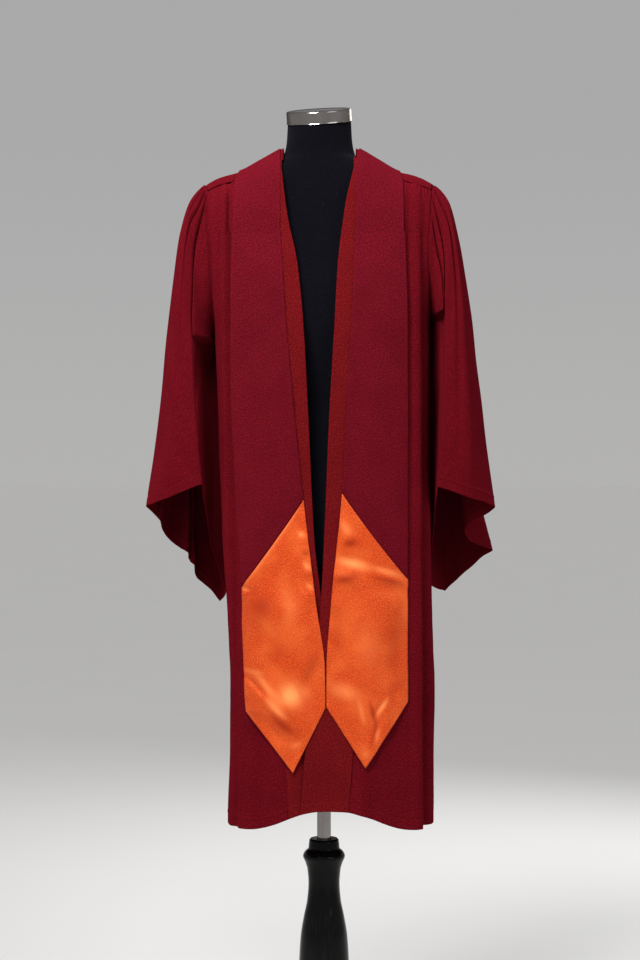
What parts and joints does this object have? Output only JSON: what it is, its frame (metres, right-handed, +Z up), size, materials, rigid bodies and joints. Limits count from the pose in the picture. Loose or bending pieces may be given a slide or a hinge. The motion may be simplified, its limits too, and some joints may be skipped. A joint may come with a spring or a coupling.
{
  "type": "graduation gown with stole on dress form and stand",
  "caption": "Open-front graduation gown with bell sleeves and a satin-ended stole, worn by a limbless dress form on a turned tripod stand.",
  "frame": {"origin": "on the floor, on the axis of the stand's pole", "axes": "+Z up, -Y towards the gown's open front"},
  "size_m": [0.6388, 0.4718, 1.8091],
  "materials": {
    "gown_cloth": "matt twill, deep crimson",
    "stole_cloth": "matt twill, crimson a little cooler than the gown",
    "satin": "bright satin, orange",
    "jersey": "matt stretch jersey, black",
    "chrome": "polished",
    "lacquer": "turned wood, gloss black lacquer",
    "rubber": "moulded, black"
  },
  "bodies": {
    "stand": {"column": "lacquer", "pole": "chrome", "leg_front": "lacquer", "leg_back_right": "lacquer", "leg_back_left": "lacquer", "pad_front": "rubber", "pad_back_right": "rubber", "pad_back_left": "rubber"},
    "collar": {"stop_collar": "chrome", "thumb_screw": "chrome"},
    "form": {"dress_form": "jersey", "neck_cap": "chrome", "yoke": "gown_cloth", "back": "gown_cloth", "left_front": "gown_cloth", "right_front": "gown_cloth", "left_front_band": "gown_cloth", "right_front_band": "gown_cloth", "left_sleeve": "gown_cloth", "right_sleeve": "gown_cloth", "left_stole": "stole_cloth", "right_stole": "stole_cloth", "left_stole_end": "satin", "right_stole_end": "satin"}
  },
  "joints": [
    {"name": "height_slide", "type": "slide", "parent": "stand", "child": "collar", "axis": [0, 0, 1], "range_m": [-0.1, 0.12]},
    {"name": "form_swivel", "type": "hinge", "parent": "collar", "child": "form", "pos_m": [0, 0, 0.95], "axis": [0, 0, 1], "continuous": true}
  ]
}
